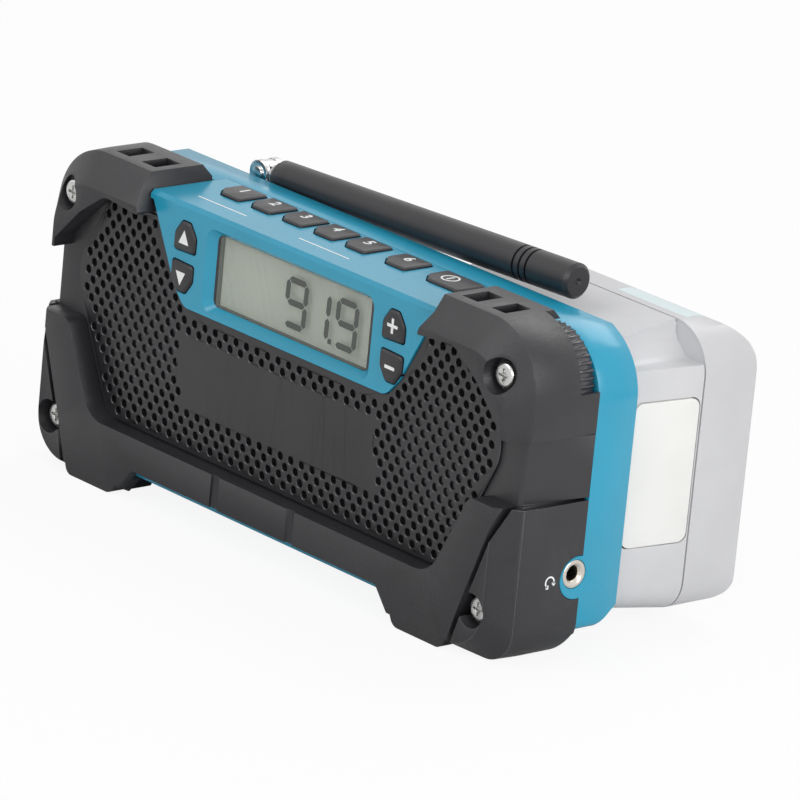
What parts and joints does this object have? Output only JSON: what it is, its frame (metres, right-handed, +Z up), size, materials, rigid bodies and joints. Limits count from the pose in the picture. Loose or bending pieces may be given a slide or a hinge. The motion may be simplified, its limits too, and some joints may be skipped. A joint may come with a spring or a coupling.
{
  "type": "jobsite radio",
  "caption": "Compact jobsite radio with rubber guards, perforated grille, display, sprung keys, tuning wheel, folding antenna and slide-off battery pack.",
  "frame": {"origin": "middle of the overall bounding box at the height of the feet", "axes": "+X to the listener's right along the front, +Y from the front grille to the battery, +Z up"},
  "size_m": [0.183, 0.078, 0.0882],
  "materials": {
    "black_abs": "fine grained",
    "black_rubber": "satin grained",
    "teal_abs": "satin",
    "lens": "clear window",
    "lcd": "grey green liquid crystal panel",
    "board": "lacquered",
    "paper_cone": "silver grey cone",
    "zinc_steel": "zinc plated",
    "ferrite": "dark sintered",
    "chrome": "polished",
    "nickel": "nickel plated",
    "pack_grey": "pale satin",
    "pack_white": "satin",
    "label": "blank label",
    "cell_wrap": "shrink sleeve",
    "brass": "plated"
  },
  "bodies": {
    "radio": {"front_case": "black_abs", "upper_guard_left": "black_rubber", "upper_guard_right": "black_rubber", "lower_guard": "black_rubber", "lower_corner_left": "black_rubber", "lower_corner_right": "black_rubber", "grille_plate": "black_abs", "display_fascia": "teal_abs", "rear_case": "teal_abs", "display_lens": "lens", "display_module": "lcd", "front_board": "board", "key_board": "board", "main_board": "board", "speaker_frame_left": "zinc_steel", "speaker_cone_left": "paper_cone", "speaker_magnet_left": "ferrite", "speaker_frame_right": "zinc_steel", "speaker_cone_right": "paper_cone", "speaker_magnet_right": "ferrite", "tuning_encoder": "black_abs", "jack_body": "black_abs", "jack_ring": "nickel", "corner_screws": "zinc_steel", "antenna_base": "black_abs", "terminal_blades": "brass"},
    "tuning": {"tuning_wheel": "black_abs", "tuning_shaft": "zinc_steel"},
    "antenna_turn": {"antenna_swivel": "chrome", "antenna_pin": "chrome"},
    "antenna": {"antenna_eye": "chrome", "antenna_whip": "black_rubber"},
    "battery": {"battery_lower": "pack_grey", "battery_upper": "pack_grey", "battery_label": "label", "battery_spring": "zinc_steel", "battery_cells": "cell_wrap"},
    "release": {"battery_button": "pack_white"},
    "body_preset_key_1": {"preset_key_1": "black_rubber"},
    "body_preset_key_2": {"preset_key_2": "black_rubber"},
    "body_preset_key_3": {"preset_key_3": "black_rubber"},
    "body_preset_key_4": {"preset_key_4": "black_rubber"},
    "body_preset_key_5": {"preset_key_5": "black_rubber"},
    "body_preset_key_6": {"preset_key_6": "black_rubber"},
    "body_power_key": {"power_key": "black_rubber"},
    "body_tune_up_key": {"tune_up_key": "black_rubber"},
    "body_tune_down_key": {"tune_down_key": "black_rubber"},
    "body_volume_up_key": {"volume_up_key": "black_rubber"},
    "body_volume_down_key": {"volume_down_key": "black_rubber"}
  },
  "joints": [
    {"name": "tuning_turn", "type": "hinge", "parent": "radio", "child": "tuning", "pos_m": [0.0768, -0.0168, 0.0672], "axis": [0, 1, 0], "continuous": true},
    {"name": "antenna_swivel_turn", "type": "hinge", "parent": "radio", "child": "antenna_turn", "pos_m": [-0.0546, 0.0037, 0.072], "axis": [0, 0, 1], "range_deg": [0, 180]},
    {"name": "antenna_fold", "type": "hinge", "parent": "antenna_turn", "child": "antenna", "pos_m": [-0.0546, 0.0037, 0.0796], "axis": [0, -1, 0], "range_deg": [0, 135]},
    {"name": "battery_slide", "type": "slide", "parent": "radio", "child": "battery", "axis": [1, 0, 0], "range_m": [0, 0.062]},
    {"name": "battery_release_press", "type": "slide", "parent": "battery", "child": "release", "axis": [-1, 0, 0], "range_m": [0, 0.0018], "stiffness_N_per_m": 900, "springref_m": -0.0005, "deforming": ["battery_spring"]},
    {"name": "preset_key_1_press", "type": "slide", "parent": "radio", "child": "body_preset_key_1", "axis": [0, 0, -1], "range_m": [0, 0.0006], "stiffness_N_per_m": 1500, "springref_m": -0.0003},
    {"name": "preset_key_2_press", "type": "slide", "parent": "radio", "child": "body_preset_key_2", "axis": [0, 0, -1], "range_m": [0, 0.0006], "stiffness_N_per_m": 1500, "springref_m": -0.0003},
    {"name": "preset_key_3_press", "type": "slide", "parent": "radio", "child": "body_preset_key_3", "axis": [0, 0, -1], "range_m": [0, 0.0006], "stiffness_N_per_m": 1500, "springref_m": -0.0003},
    {"name": "preset_key_4_press", "type": "slide", "parent": "radio", "child": "body_preset_key_4", "axis": [0, 0, -1], "range_m": [0, 0.0006], "stiffness_N_per_m": 1500, "springref_m": -0.0003},
    {"name": "preset_key_5_press", "type": "slide", "parent": "radio", "child": "body_preset_key_5", "axis": [0, 0, -1], "range_m": [0, 0.0006], "stiffness_N_per_m": 1500, "springref_m": -0.0003},
    {"name": "preset_key_6_press", "type": "slide", "parent": "radio", "child": "body_preset_key_6", "axis": [0, 0, -1], "range_m": [0, 0.0006], "stiffness_N_per_m": 1500, "springref_m": -0.0003},
    {"name": "power_key_press", "type": "slide", "parent": "radio", "child": "body_power_key", "axis": [0, 0, -1], "range_m": [0, 0.0006], "stiffness_N_per_m": 1500, "springref_m": -0.0003},
    {"name": "tune_up_key_press", "type": "slide", "parent": "radio", "child": "body_tune_up_key", "axis": [0, 1, 0], "range_m": [0, 0.0006], "stiffness_N_per_m": 1500, "springref_m": -0.0003},
    {"name": "tune_down_key_press", "type": "slide", "parent": "radio", "child": "body_tune_down_key", "axis": [0, 1, 0], "range_m": [0, 0.0006], "stiffness_N_per_m": 1500, "springref_m": -0.0003},
    {"name": "volume_up_key_press", "type": "slide", "parent": "radio", "child": "body_volume_up_key", "axis": [0, 1, 0], "range_m": [0, 0.0006], "stiffness_N_per_m": 1500, "springref_m": -0.0003},
    {"name": "volume_down_key_press", "type": "slide", "parent": "radio", "child": "body_volume_down_key", "axis": [0, 1, 0], "range_m": [0, 0.0006], "stiffness_N_per_m": 1500, "springref_m": -0.0003}
  ]
}
